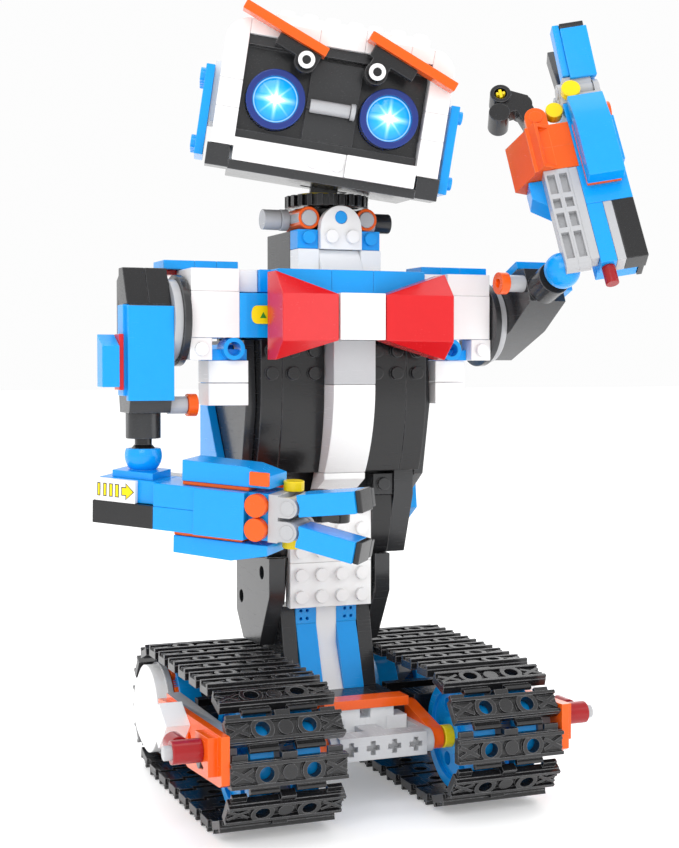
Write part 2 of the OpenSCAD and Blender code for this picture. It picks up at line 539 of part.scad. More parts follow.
// Finger, origin on its hinge pin
module finger(s) {
  rotate([0, -9 * s, 0]) {
    color(GREY) difference() {
      union() { cy(3.2, -8.7, 1.9, 0, 0); bx(0, 5, -8.7, 1.9, -2.6, 2.6); }
      cy(H, -10, 3, 0, 0);
    }
    color(BLUE) difference() { bx(3.6, 24, -11, -1, -3.7 + s * 0.5, 3.7 + s * 0.5); translate([0, 0, 0]) cy(4.2, -12, 3, 0, 0); bx(0, 5.05, -8.75, 3, -2.65, 2.65); }
    color(DARK) bx(5.1, 26, -0.95, 1.6, -3 + s * 0.5, 3 + s * 0.5);
    color(BLACK) bx(24.05, 26, -10, -1, -3.7 + s * 0.5, 3.7 + s * 0.5);
  }
}
// Thumb, origin on its hinge pin along Z
module thumb() {
  color(BLACK) difference() {
    union() {
      cz(3.9, -5, 5, 0, 0);
      cz(3.9, -5, 2, 9, 3);
      pz_(-5, 1) polygon([[-1, -3], [10, 0], [8, 6], [-2, 3]]);
      cz(3.9, -6, 2, 14, 10);
      cz(3.9, -6, 4, 6, 12);
      pz_(-5, 1) polygon([[7, 1], [12, 0], [17, 9], [12, 13], [5, 14]]);
    }
    cz(H, -8, 8, 0, 0);
    cz(R, -8, -3, 14, 10);
  }
  color(YELLOW) { bx(12.3, 15.7, 9.4, 10.6, -6.2, -3.1); bx(13.4, 14.6, 8.3, 9.38, -6.2, -3.1); bx(13.4, 14.6, 10.62, 11.7, -6.2, -3.1); }
}
module thumb_mount() {
  color(GREY) difference() { union() { bx(46.05, 50, 11, 19, -9.6, -7); bx(46.05, 50, 11, 19, -23, -20.4); cz(4, -9.6, -7, 50, 15); cz(4, -23, -20.4, 50, 15); } cz(R, -25, -5, 50, 15); }
  color(BLACK) cz(R, -23.4, -6.6, 50, 15);
  color(YELLOW) cz(3.2, -22, -18, 52.6, 7.4);
}
module right_arm_at() { translate([-shoulder_x, 0, shoulder_z]) mirror([1, 0, 0]) children(); }
module left_arm_at() { translate([shoulder_x, 0, shoulder_z]) rotate([-112.5, 0, 0]) children(); }
module right_fore_at() { translate([-71.5, 0, 123]) rotate([3.9, 3.5, -45]) children(); }
module left_fore_at() { translate([90.87, -34.19, 192.85]) rotate([159.3, -63.14, 88.22]) mirror([0, 1, 0]) children(); }
module right_upper_arm_shape() { right_arm_at() upper_arm(14); }
module left_upper_arm_shape() { left_arm_at() upper_arm(EL); }
module right_elbow_ball_shape() { right_arm_at() translate([14, 0, -BALL]) elbow_ball(); }
module left_elbow_ball_shape() { left_arm_at() translate([EL, 0, -BALL]) elbow_ball(); }
module right_forearm_shape() {
  translate([-71.5, 0, 123]) cup(BLUE);
  color(BLUE) right_fore_at() difference() { bx(-7.5, 8.5, -8, 4.5, -6.95, -4.6); sphere(r = 6.5, $fn = 48); }
  right_fore_at() forearm_blue();
}
module left_forearm_shape() {
  left_arm_at() translate([EL, 0, -BALL]) cup(BLACK);
  left_fore_at() forearm_blue();
}
module right_hand_trim_shape() { right_fore_at() { forearm_trim(false); thumb_mount(); } }
module left_hand_trim_shape() { left_fore_at() { forearm_trim(true); thumb_mount(); } }
module right_finger_upper_shape() { right_fore_at() translate([61, 0, -11]) finger(1); }
module right_finger_lower_shape() { right_fore_at() translate([61, 0, -19]) finger(-1); }
module left_finger_upper_shape() { left_fore_at() translate([61, 0, -11]) finger(1); }
module left_finger_lower_shape() { left_fore_at() translate([61, 0, -19]) finger(-1); }
module right_thumb_shape() { right_fore_at() translate([50, 15, -15]) thumb(); }
module left_thumb_shape() { left_fore_at() translate([50, 15, -15]) thumb(); }

// Every part, moved so that the origin is under the middle of the whole robot
module place() { translate([-OX, -OY, 0]) children(); }
module chassis_frame() { place() chassis_frame_shape(); }
module track_links_right() { place() track_links_right_shape(); }
module track_links_left() { place() track_links_left_shape(); }
module front_wheel_right() { place() front_wheel_right_shape(); }
module front_wheel_left() { place() front_wheel_left_shape(); }
module rear_wheel_right() { place() rear_wheel_right_shape(); }
module rear_wheel_left() { place() rear_wheel_left_shape(); }
module front_axle_right() { place() front_axle_right_shape(); }
module front_axle_left() { place() front_axle_left_shape(); }
module rear_axle_right() { place() rear_axle_right_shape(); }
module rear_axle_left() { place() rear_axle_left_shape(); }
module side_armour() { place() side_armour_shape(); }
module axle_sockets() { place() axle_sockets_shape(); }
module drive_motors() { place() drive_motors_shape(); }
module front_bricks() { place() front_bricks_shape(); }
module grey_beams() { place() grey_beams_shape(); }
module orange_beams() { place() orange_beams_shape(); }
module waist_slopes() { place() waist_slopes_shape(); }
module waist_frames() { place() waist_frames_shape(); }
module belly_plates() { place() belly_plates_shape(); }
module chest_slopes() { place() chest_slopes_shape(); }
module chest_centre() { place() chest_centre_shape(); }
module battery_box() { place() battery_box_shape(); }
module battery_cells() { place() battery_cells_shape(); }
module power_button() { place() power_button_shape(); }
module back_cover() { place() back_cover_shape(); }
module shoulder_blocks() { place() shoulder_blocks_shape(); }
module badge_bricks() { place() badge_bricks_shape(); }
module collar_beam() { place() collar_beam_shape(); }
module side_panels() { place() side_panels_shape(); }
module bow_tie_wings() { place() bow_tie_wings_shape(); }
module bow_tie_knot() { place() bow_tie_knot_shape(); }
module neck_bricks() { place() neck_bricks_shape(); }
module neck_bracket() { place() neck_bracket_shape(); }
module neck_pins() { place() neck_pins_shape(); }
module neck_gear() { place() neck_gear_shape(); }
module head_frame() { place() head_frame_shape(); }
module head_shell() { place() head_shell_shape(); }
module head_base() { place() head_base_shape(); }
module head_hinge_pin() { place() head_hinge_pin_shape(); }
module eye_rings() { place() eye_rings_shape(); }
module eye_lenses() { place() eye_lenses_shape(); }
module face_rods() { place() face_rods_shape(); }
module right_eyebrow() { place() right_eyebrow_shape(); }
module left_eyebrow() { place() left_eyebrow_shape(); }
module ear_plates() { place() ear_plates_shape(); }
module right_upper_arm() { place() right_upper_arm_shape(); }
module right_elbow_ball() { place() right_elbow_ball_shape(); }
module right_forearm() { place() right_forearm_shape(); }
module right_hand_trim() { place() right_hand_trim_shape(); }
module right_finger_upper() { place() right_finger_upper_shape(); }
module right_finger_lower() { place() right_finger_lower_shape(); }
module right_thumb() { place() right_thumb_shape(); }
module left_upper_arm() { place() left_upper_arm_shape(); }
module left_elbow_ball() { place() left_elbow_ball_shape(); }
module left_forearm() { place() left_forearm_shape(); }
module left_hand_trim() { place() left_hand_trim_shape(); }
module left_finger_upper() { place() left_finger_upper_shape(); }
module left_finger_lower() { place() left_finger_lower_shape(); }
module left_thumb() { place() left_thumb_shape(); }

chassis_frame();
track_links_right();
track_links_left();
front_wheel_right();
front_wheel_left();
rear_wheel_right();
rear_wheel_left();
front_axle_right();
front_axle_left();
rear_axle_right();
rear_axle_left();
side_armour();
axle_sockets();
drive_motors();
front_bricks();
grey_beams();
orange_beams();
waist_slopes();
waist_frames();
belly_plates();
chest_slopes();
chest_centre();
battery_box();
battery_cells();
power_button();
back_cover();
shoulder_blocks();
badge_bricks();
collar_beam();
side_panels();
bow_tie_wings();
bow_tie_knot();
neck_bricks();
neck_bracket();
neck_pins();
neck_gear();
head_frame();
head_shell();
head_base();
head_hinge_pin();
eye_rings();
eye_lenses();
face_rods();
right_eyebrow();
left_eyebrow();
ear_plates();
right_upper_arm();
right_elbow_ball();
right_forearm();
right_hand_trim();
right_finger_upper();
right_finger_lower();
right_thumb();
left_upper_arm();
left_elbow_ball();
left_forearm();
left_hand_trim();
left_finger_upper();
left_finger_lower();
left_thumb();
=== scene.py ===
import json
import math

import bmesh
import bpy
import numpy as np
from mathutils import Euler, Matrix, Vector


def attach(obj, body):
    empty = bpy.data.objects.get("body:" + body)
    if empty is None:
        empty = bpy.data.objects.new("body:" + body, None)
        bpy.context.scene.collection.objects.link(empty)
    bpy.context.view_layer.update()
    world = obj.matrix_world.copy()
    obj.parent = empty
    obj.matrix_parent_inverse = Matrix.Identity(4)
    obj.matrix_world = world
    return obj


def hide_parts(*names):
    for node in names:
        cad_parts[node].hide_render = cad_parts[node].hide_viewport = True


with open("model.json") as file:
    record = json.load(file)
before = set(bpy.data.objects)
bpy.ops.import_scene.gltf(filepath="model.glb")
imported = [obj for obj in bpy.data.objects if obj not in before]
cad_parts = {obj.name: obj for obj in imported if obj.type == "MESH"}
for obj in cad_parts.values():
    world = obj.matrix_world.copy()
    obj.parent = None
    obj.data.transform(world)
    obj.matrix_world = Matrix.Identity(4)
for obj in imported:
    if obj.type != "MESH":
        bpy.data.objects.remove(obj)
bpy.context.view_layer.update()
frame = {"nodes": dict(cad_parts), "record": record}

NODES, RECORD = frame["nodes"], frame["record"]
BODY = {n: b for b, ns in RECORD["behaviour"]["bodies"].items() for n in ns}
OX, OY = 6.584, -2.046  # where the CAD's own drawing origin lies, in mm


def mm(x, y, z):
    """A point of the drawing, in mm, as a point of the frame, in metres."""
    return Vector(((x - OX) / 1000, (y - OY) / 1000, z / 1000))


# ---------------------------------------------------------------- materials
class Tree:
    """Short words for building a node tree."""

    def __init__(self, name):
        self.m = bpy.data.materials.new(name)
        self.m.use_nodes = True
        self.t = self.m.node_tree
        self.t.nodes.clear()
        self.out = self.t.nodes.new("ShaderNodeOutputMaterial")

    def n(self, kind, **props):
        node = self.t.nodes.new("ShaderNode" + kind)
        for k, v in props.items():
            setattr(node, k, v)
        return node

    def link(self, a, b):
        self.t.links.new(a, b)

    def math(self, op, a, b=None, clamp=False):
        node = self.n("Math", operation=op, use_clamp=clamp)
        for i, v in enumerate((a, b)):
            if v is None:
                continue
            if isinstance(v, (int, float)):
                node.inputs[i].default_value = v
            else:
                self.link(v, node.inputs[i])
        return node.outputs[0]

    def noise(self, vec, scale, detail=2.0, rough=0.5, dist=0.0):
        node = self.n("TexNoise")
        self.link(vec, node.inputs["Vector"])
        node.inputs["Scale"].default_value = scale
        node.inputs["Detail"].default_value = detail
        node.inputs["Roughness"].default_value = rough
        node.inputs["Distortion"].default_value = dist
        return node.outputs["Fac"]

    def ramp(self, fac, stops):
        node = self.n("ValToRGB")
        self.link(fac, node.inputs[0])
        e = node.color_ramp.elements
        while len(e) < len(stops):
            e.new(0.5)
        for i, (p, c) in enumerate(stops):
            e[i].position = p
            e[i].color = (c, c, c, 1) if isinstance(c, (int, float)) else (*c, 1)
        return node.outputs[0]

    def mix(self, fac, a, b):
        node = self.n("Mix", data_type="RGBA")
        for v, s in ((fac, node.inputs[0]), (a, node.inputs[6]), (b, node.inputs[7])):
            if isinstance(v, (int, float)):
                s.default_value = v
            elif isinstance(v, tuple):
                s.default_value = (*v, 1)
            else:
                self.link(v, s)
        return node.outputs[2]


def plastic(name, base, rough=0.2, spread=0.1, edge=None, edge_amount=0.5, vary=0.06, coat=0.0, spec=0.5, sss=0.0, bump=0.012):
    """Glossy moulded ABS: faint flow marks in the colour, fine scratches and finger marks in the gloss, and a painted
    highlight that lightens the edges.
    """
    t = Tree(name)
    obj = t.n("TexCoord").outputs["Object"]
    big = t.noise(obj, 38, 3)
    flow = t.noise(obj, 260, 2, 0.6, 0.6)
    dark = tuple(c * (1 - vary) for c in base)
    light = tuple(min(1, c * (1 + vary) + 0.004) for c in base)
    col = t.mix(t.math("MULTIPLY", t.math("ADD", big, flow), 0.5), dark, light)
    # Painted highlight: where the Bevel node's normal turns away from the true normal, the colour is mixed towards a
    # lighter edge colour, broken up by noise patches.
    bev = t.n("Bevel", samples=4)
    bev.inputs["Radius"].default_value = 0.00035
    geo = t.n("NewGeometry")
    dot = t.n("VectorMath", operation="DOT_PRODUCT")
    t.link(bev.outputs[0], dot.inputs[0])
    t.link(geo.outputs["Normal"], dot.inputs[1])
    edge_highlight_mask = t.math("SUBTRACT", 1.0, dot.outputs["Value"])
    edge_highlight_mask = t.ramp(t.math("MULTIPLY", edge_highlight_mask, 3.0, True), [(0.03, 0.0), (0.35, 1.0)])
    patch = t.ramp(t.noise(obj, 420, 4, 0.65), [(0.30, 0.45), (0.62, 1.0)])
    painted_edge_highlight = t.math("MULTIPLY", t.math("MULTIPLY", edge_highlight_mask, patch), edge_amount)
    # The painted edge highlight colour is the given edge colour, else a lighter tone of the base.
    col = t.mix(painted_edge_highlight, col, edge or tuple(min(1, c * 1.25 + 0.05) for c in base))
    # fine scratches: noise stretched two ways
    scr = None
    for rot, sc in (((0.3, 0.5, 0.4), (3000, 90, 3000)), ((1.1, -0.6, 2.0), (90, 3000, 2600))):
        mp = t.n("Mapping")
        t.link(obj, mp.inputs["Vector"])
        mp.inputs["Rotation"].default_value = rot
        mp.inputs["Scale"].default_value = sc
        s = t.ramp(t.noise(mp.outputs[0], 1.0, 1), [(0.66, 0.0), (0.72, 1.0)])
        scr = s if scr is None else t.math("MAXIMUM", scr, s)
    smudge = t.noise(obj, 95, 4, 0.6, 0.4)
    r = t.math("ADD", t.math("MULTIPLY", smudge, spread), rough - spread / 2)
    r = t.math("ADD", r, t.math("MULTIPLY", scr, 0.07))
    # Edges with the painted highlight are also made a little rougher.
    r = t.math("ADD", r, t.math("MULTIPLY", painted_edge_highlight, 0.1), True)
    b = t.n("Bump")
    b.inputs["Strength"].default_value = 0.25
    b.inputs["Distance"].default_value = 0.00006
    h = t.math("ADD", t.noise(obj, 900, 2), t.math("MULTIPLY", scr, -0.35))
    t.link(h, b.inputs["Height"])
    t.link(bev.outputs[0], b.inputs["Normal"])
    p = t.n("BsdfPrincipled")
    t.link(col, p.inputs["Base Color"])
    t.link(r, p.inputs["Roughness"])
    t.link(b.outputs[0], p.inputs["Normal"])
    p.inputs["IOR"].default_value = 1.54
    p.inputs["Specular IOR Level"].default_value = spec
    if coat:
        p.inputs["Coat Weight"].default_value = coat
        p.inputs["Coat Roughness"].default_value = 0.06
    if sss:
        p.inputs["Subsurface Weight"].default_value = sss
        p.inputs["Subsurface Scale"].default_value = 0.0012
        p.inputs["Subsurface Radius"].default_value = (1.0, 0.8, 0.6)
    t.link(p.outputs[0], t.out.inputs["Surface"])
    return t.m


# After the roughness and its spread, each plastic gets the colour and the strength of its painted edge highlight.
M = {
    "blue": plastic("blue_plastic_moulded", (0.0, 0.33, 0.86), 0.2, 0.10, (0.12, 0.58, 0.97), 0.5, coat=0.1, spec=0.3),
    "dblue": plastic("deep_blue_ring_plastic", (0.0, 0.02, 0.20), 0.14, 0.08, (0.02, 0.2, 0.7), 0.5, coat=0.3, spec=0.4),
    "white": plastic("white_plastic_moulded", (0.86, 0.86, 0.86), 0.22, 0.10, (0.95, 0.95, 0.95), 0.5, 0.02, spec=0.35),
    "dark": plastic("dark_grey_plastic_moulded", (0.024, 0.025, 0.027), 0.22, 0.12, (0.30, 0.30, 0.31), 0.7, 0.12, coat=0.1, spec=0.4),
    "black": plastic("black_plastic_moulded", (0.006, 0.006, 0.007), 0.22, 0.14, (0.26, 0.26, 0.27), 0.7, 0.2, coat=0.1, spec=0.4),
    "grey": plastic("light_grey_plastic_moulded", (0.46, 0.465, 0.48), 0.22, 0.12, (0.78, 0.78, 0.79), 0.5, 0.05, spec=0.4),
    "red": plastic("red_plastic_moulded", (0.66, 0.008, 0.012), 0.2, 0.10, (0.85, 0.15, 0.15), 0.5, coat=0.1, spec=0.3),
    "dred": plastic("dark_red_plastic_moulded", (0.32, 0.005, 0.008), 0.2, 0.10, (0.7, 0.1, 0.1), 0.5, coat=0.1, spec=0.3),
    "orange": plastic("orange_plastic_moulded", (0.90, 0.105, 0.0), 0.2, 0.10, (0.95, 0.35, 0.1), 0.5, coat=0.1, spec=0.3),
    "yellow": plastic("yellow_plastic_moulded", (0.90, 0.66, 0.0), 0.2, 0.10, (0.95, 0.85, 0.3), 0.5, coat=0.1, spec=0.3),
    "track": plastic("black_track_rubbery_plastic", (0.008, 0.008, 0.009), 0.24, 0.16, (0.34, 0.34, 0.35), 0.7, 0.2, spec=0.5),
    "silver": plastic("silver_grey_metallic", (0.42, 0.43, 0.45), 0.22, 0.12, (0.8, 0.8, 0.8), 0.5, 0.05, coat=0.4, spec=0.6),
}

COLOURS = {  # node: [x, y, z of a solid in mm, its colour]
    "axle_sockets": [(-78.6, -40, 31.5, "dred"), (-78.8, -48, 31, "grey"), (-77.6, -48, 31, "dred"), (65.4, -40, 31.5, "dred"), (65.7, -48, 31, "grey"), (64.4, -48, 31, "dred")],
    "back_cover": [(0, 0, 0, "dark")],
    "badge_bricks": [(0, 0, 0, "blue")],
    "battery_box": [(0, 0, 0, "dark")],
    "battery_cells": [(0, 0, 0, "silver")],
    "belly_plates": [(0, 0, 0, "white")],
    "bow_tie_knot": [(0, 0, 0, "white")],
    "bow_tie_wings": [(0, 0, 0, "red")],
    "chassis_frame": [(0, 0, 0, "dark")],
    "chest_centre": [(-6.6, -8, 155.4, "grey"), (-6.6, -0.7, 111, "white"), (-6.6, -8, 131.6, "white")],
    "chest_slopes": [(-22.6, -4.3, 139.7, "black"), (-34.6, -4.3, 139.7, "black"), (-23.5, 10.5, 75, "black"), (-40.6, 18, 125.7, "dark"), (-26.6, 5.7, 110.3, "dark"), (-26.6, 6.8, 95.2, "black"), (9.4, -4.3, 139.7, "black"), (21.4, -4.3, 139.7, "black"), (10.4, 10.5, 75, "black"), (27.4, 18, 125.7, "dark"), (13.5, 5.7, 110.3, "dark"), (13.5, 6.8, 95.2, "black")],
    "collar_beam": [(-6.6, 3.1, 183.8, "white"), (-24.6, -11.9, 183.8, "blue"), (-6.6, -11.9, 183.8, "blue"), (11.4, -11.9, 183.8, "blue"), (-34.6, 3.1, 184, "blue"), (-46.6, 11, 189.7, "blue"), (-54.6, 11, 189.7, "blue"), (-64.3, 11, 189.7, "blue"), (21.5, 3.1, 184, "blue"), (33.4, 11, 189.7, "blue"), (41.4, 11, 189.7, "blue"), (51.1, 11, 189.7, "blue"), (-66.4, 12, 187.2, "red"), (53.2, 12, 187.2, "red")],
    "drive_motors": [(0, 0, 0, "black")],
    "ear_plates": [(0, 0, 0, "blue")],
    "eye_lenses": [(0, 0, 0, "eye")],
    "eye_rings": [(0, 0, 0, "dblue")],
    "face_rods": [(-16.7, -19.5, 243.3, "silver"), (-9.2, -22.2, 242.1, "silver"), (-25.9, -19.2, 258.3, "black"), (-2.7, -25.8, 254.7, "black"), (-28.8, -28.8, 257.6, "white"), (-5.6, -35.4, 253.9, "white")],
    "front_axle_left": [(0, 0, 0, "black")],
    "front_axle_right": [(0, 0, 0, "black")],
    "front_bricks": [(0, 0, 0, "white")],
    "front_wheel_left": [(0, 0, 0, "blue")],
    "front_wheel_right": [(0, 0, 0, "blue")],
    "grey_beams": [(0, 0, 0, "grey")],
    "head_base": [(0, 0, 0, "dark")],
    "head_frame": [(0, 0, 0, "white")],
    "head_hinge_pin": [(0, 0, 0, "silver")],
    "head_shell": [(0, 0, 0, "dark")],
    "left_elbow_ball": [(0, 0, 0, "black")],
    "left_eyebrow": [(7.8, -35.1, 258.2, "orange"), (1, -31.5, 257.1, "black")],
    "left_finger_lower": [(76.7, -15.6, 270.1, "blue"), (81.7, -14.6, 280, "black"), (81.1, -21, 257, "grey"), (82.7, -18.4, 269.5, "blue")],
    "left_finger_upper": [(82, -4.2, 264.3, "dark"), (88.1, -0.8, 272.9, "blue"), (84.2, -13.9, 253.6, "grey"), (87.7, -7.4, 263.8, "blue")],
    "left_forearm": [(0, 0, 0, "blue")],
    "left_hand_trim": [(67.3, -22.7, 232.6, "orange"), (82.6, -19.7, 251.9, "grey"), (90.2, -46.8, 195.7, "black"), (84.6, -51.1, 201.3, "black"), (79.4, -49.1, 200.4, "grey"), (75, -54.6, 185.8, "dred"), (70.8, -42.8, 207.3, "grey"), (72.3, -32.5, 209.7, "grey"), (67.2, -41.5, 206.1, "grey"), (63.1, -40, 205.4, "grey"), (85.4, -23.3, 225.9, "orange"), (78.7, -38.8, 231.1, "orange"), (94.1, -14.9, 240.6, "orange"), (91.4, -22.6, 243.9, "orange"), (88.4, -29.2, 247.3, "orange"), (82.6, -10.2, 246.6, "grey"), (75.3, -26.2, 254.8, "yellow"), (70.6, -22.3, 247, "yellow")],
    "left_thumb": [(59.7, -13.1, 247.1, "black"), (54.6, -10.8, 254.3, "yellow"), (55.7, -11.2, 254.4, "yellow"), (53.5, -10.4, 254.1, "yellow")],
    "left_upper_arm": [(55.6, 2, 170, "grey"), (65.2, -4.2, 185, "blue"), (73.1, -5.4, 179.5, "blue"), (75.1, -8.5, 182.5, "blue"), (78.9, -9.4, 182.7, "blue"), (53.7, -24.1, 184.1, "grey"), (46.5, 2, 170, "dark"), (61.2, 13.1, 169.3, "black"), (69, 13.1, 169.3, "black"), (64.6, -5.8, 173, "dark"), (48.5, -24.1, 184.1, "orange"), (63.3, -31.7, 184, "dark")],
    "neck_bracket": [(0, 0, 0, "white")],
    "neck_bricks": [(-6.6, -1, 192, "white"), (-6.6, 16.3, 199.9, "dark"), (-18.6, 0.5, 192.1, "white"), (-18.6, 0.1, 199.6, "blue"), (5.5, 0.5, 192.1, "white"), (5.5, 0.1, 199.6, "blue")],
    "neck_gear": [(0, 0, 0, "black")],
    "neck_pins": [(-6.6, -3.4, 207.6, "blue"), (-17.8, 7.3, 207.3, "grey"), (-23.5, 10, 207.3, "grey"), (-28.3, 10, 207.3, "dark"), (-17.8, 7.1, 207.3, "orange"), (4.6, 7.3, 207.3, "grey"), (10.3, 10, 207.3, "grey"), (15.2, 10, 207.3, "dark"), (4.6, 7.1, 207.3, "orange")],
    "orange_beams": [(0, 0, 0, "orange")],
    "power_button": [(0, 0, 0, "red")],
    "rear_axle_left": [(0, 0, 0, "black")],
    "rear_axle_right": [(0, 0, 0, "black")],
    "rear_wheel_left": [(0, 0, 0, "blue")],
    "rear_wheel_right": [(0, 0, 0, "blue")],
    "right_elbow_ball": [(0, 0, 0, "black")],
    "right_eyebrow": [(-34.2, -23.4, 268.4, "orange"), (-29.6, -22.9, 260.8, "black")],
    "right_finger_lower": [(-23.9, -49.6, 96.5, "dark"), (-21.4, -60.1, 94.1, "black"), (-36.6, -42.5, 99.9, "grey"), (-29.6, -52.8, 96.5, "blue")],
    "right_finger_upper": [(-24, -50.8, 110.3, "dark"), (-21.5, -61.7, 110.8, "black"), (-36.6, -43.1, 108.1, "grey"), (-29.7, -54, 109.7, "blue")],
    "right_forearm": [(0, 0, 0, "blue")],
    "right_hand_trim": [(-41.5, -12.2, 105.5, "orange"), (-38.6, -40.7, 104.4, "grey"), (-88.6, -1.8, 111.5, "white"), (-84.4, -1.2, 103.6, "black"), (-80.5, 2.7, 103.9, "grey"), (-88.2, 16.8, 105.2, "dred"), (-67.7, 2.9, 103, "grey"), (-61.8, -1.5, 110.7, "grey"), (-65.9, 6.3, 103.3, "grey"), (-62.7, 9.4, 103.6, "grey"), (-56.7, -23.3, 114.5, "orange"), (-58.4, -20, 97.2, "orange"), (-50.1, -41, 116.9, "orange"), (-50.9, -40.3, 108.2, "orange"), (-50.8, -39.6, 100.2, "orange"), (-36.9, -37.9, 114.3, "yellow"), (-36.8, -36.1, 94.9, "yellow"), (-35.6, -28.1, 100.4, "yellow")],
    "right_thumb": [(-23.6, -21.3, 105.4, "black"), (-15.1, -23.8, 101.2, "yellow"), (-15.9, -24.6, 101.1, "yellow"), (-14.3, -23, 101.3, "yellow")],
    "right_upper_arm": [(-68.8, 2, 170, "grey"), (-78.4, -9.4, 158.4, "blue"), (-86.3, -3.9, 159.5, "blue"), (-88.3, -5.5, 155.5, "red"), (-92.1, -6, 156, "blue"), (-66.9, -1, 140.5, "grey"), (-59.7, 2, 170, "dark"), (-74.4, -2, 181.6, "black"), (-82.2, -2, 181.6, "black"), (-77.7, 1.6, 163, "dark"), (-61.6, -1, 140.5, "orange"), (-78.1, 2, 133.5, "dark")],
    "shoulder_blocks": [(0, 0, 0, "white")],
    "side_armour": [(-69.6, -22, 29, "grey"), (-68.5, -52, 28.5, "orange"), (-68.5, -14, 28.5, "orange"), (56.4, -22, 29, "grey"), (55.3, -52, 28.5, "orange"), (55.3, -14, 28.5, "orange")],
    "side_panels": [(0, 0, 0, "blue")],
    "track_links_left": [(0, 0, 0, "track")],
    "track_links_right": [(0, 0, 0, "track")],
    "waist_frames": [(0, 0, 0, "dark")],
    "waist_slopes": [(-6.6, 12, 50, "white"), (-14.6, 12, 50.2, "blue"), (1.5, 12, 50.2, "blue")],
}


# ------------------------------------------------- the bricks: clean meshes with moulded edges
def islands(co, faces):
    """The number of the separate solid that each vertex belongs to."""
    par = list(range(len(co)))

    def find(a):
        while par[a] != a:
            par[a] = par[par[a]]
            a = par[a]
        return a

    for f in faces:
        a = find(f[0])
        for i in f[1:]:
            b = find(i)
            if a != b:
                par[b] = a
    return [find(i) for i in range(len(co))]


def tint(node, c):
    """The colour of a face of a solid that joins bricks of several colours, or None to keep the solid's own."""
    x, y, z = c[0] * 1000 + OX, c[1] * 1000 + OY, c[2] * 1000
    u = abs(x)
    if node.startswith(("front_wheel", "rear_wheel")):
        rear = node.startswith("rear")
        r = math.hypot(y - (40 if rear else -40), z - 24.6)
        if rear and u > 56.05:
            return "white"
        if rear and u > 53.6:
            return "silver"
        if rear and u > 52.1:
            return "orange"
        if 37.4 < u < 42.6 or (33.05 < u < 46.95 and min(abs(u - 36), abs(u - 44)) > 0.1 and r < 15.5):
            return "grey"
        return "blue"
    if node.startswith(("front_axle", "rear_axle")):
        r = math.hypot(y - (40 if node.startswith("rear") else -40), z - 24.6)
        if (r > 2.7 and 24.3 < u < 28.1) or abs(u - 24.4) < 0.1 or abs(u - 28) < 0.1:
            return "yellow"
        return "black"
    if node == "side_armour":
        if u < 59.95:
            return "grey"
        return "white" if u > 62.85 and -27.5 < y < -5.5 else "orange"
    if node == "front_bricks":
        return "orange" if z > 34.65 else "white"
    if node == "neck_gear":
        return "yellow" if 216.15 < z < 217.05 else "black"
    if node == "shoulder_blocks":
        return "blue" if 36 < u < 49.95 and 155.9 < z < 164.1 else "white"
    if node == "neck_pins" and u > 15 and x < 0:
        return "grey"
    return None


def moulded(node, width):
    """A clean copy of a CAD node: planar faces are whole again, every solid has its colour and its outer edges are rounded."""
    src = NODES[node].data
    bm = bmesh.new()
    bm.from_mesh(src)
    bmesh.ops.remove_doubles(bm, verts=bm.verts, dist=2e-6)
    for f in bm.faces:
        f.smooth = True
        f.material_index = 0
    bmesh.ops.dissolve_limit(bm, angle_limit=math.radians(0.25), verts=bm.verts, edges=bm.edges, use_dissolve_boundaries=False)
    bm.verts.ensure_lookup_table()
    root = islands(bm.verts, [[v.index for v in f.verts] for f in bm.faces])
    groups = {}
    for v in bm.verts:
        groups.setdefault(root[v.index], []).append(v)
    names = []
    table = COLOURS[node]
    jobs = []
    for vs in groups.values():
        lo = [min(v.co[i] for v in vs) * 1000 for i in range(3)]
        hi = [max(v.co[i] for v in vs) * 1000 for i in range(3)]
        mid = [(a + b) / 2 for a, b in zip(lo, hi)]
        row = min(table, key=lambda r: sum((a - b) ** 2 for a, b in zip(mid, r)))
        if row[3] not in names:
            names.append(row[3])
        k = names.index(row[3])
        faces = {f for v in vs for f in v.link_faces}
        for f in faces:
            c = tint(node, f.calc_center_median())
            if c is None:
                f.material_index = k
                continue
            if c not in names:
                names.append(c)
            f.material_index = names.index(c)
        edges = {e for v in vs for e in v.link_edges}
        sharp = [e for e in edges if len(e.link_faces) == 2 and e.calc_face_angle_signed(0) > math.radians(38)]
        jobs.append((sharp, min(hi[i] - lo[i] for i in range(3)) / 1000))
    for sharp, thin in jobs:
        if sharp:
            w = min(width, thin * 0.12)
            bmesh.ops.bevel(bm, geom=sharp, offset=w, offset_type="OFFSET", segments=2, profile=0.5, affect="EDGES", clamp_overlap=True, miter_outer="SHARP", material=-1)
    for e in bm.edges:
        if len(e.link_faces) == 2 and e.calc_face_angle(0) > math.radians(48):
            e.smooth = False
    for f in bm.faces:
        f.smooth = True
    me = bpy.data.meshes.new(node + "_moulded")
    bm.to_mesh(me)
    bm.free()
    o = bpy.data.objects.new(node + "_moulded", me)
    bpy.context.scene.collection.objects.link(o)
    for c in names:
        me.materials.append(M[c])
    wn = o.modifiers.new("weighted_normals", "WEIGHTED_NORMAL")
    wn.keep_sharp = True
    wn.weight = 60
    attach(o, BODY[node])
    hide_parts(node)
    return o


WIDTH = {"track_links_right": 0.00018, "track_links_left": 0.00018}
SHAPES = {}
for node in sorted(NODES):
    if node in ("eye_lenses",):
        continue
    SHAPES[node] = moulded(node, WIDTH.get(node, 0.00028))


# ------------------------------------------------- eyes and stickers
def turned(rx, ry, rz, at):
    """A frame of the drawing: rotation about X, then Y, then Z, in degrees, moved to a point in mm."""
    return Matrix.Translation(mm(*at)) @ Euler([math.radians(v) for v in (rx, ry, rz)], "XYZ").to_matrix().to_4x4()


HEAD = turned(4.27, 8.61, -15.89, (-12.24, -22.24, 225.28))
RIGHT_FORE = turned(3.9, 3.5, -45, (-71.5, 0, 123))


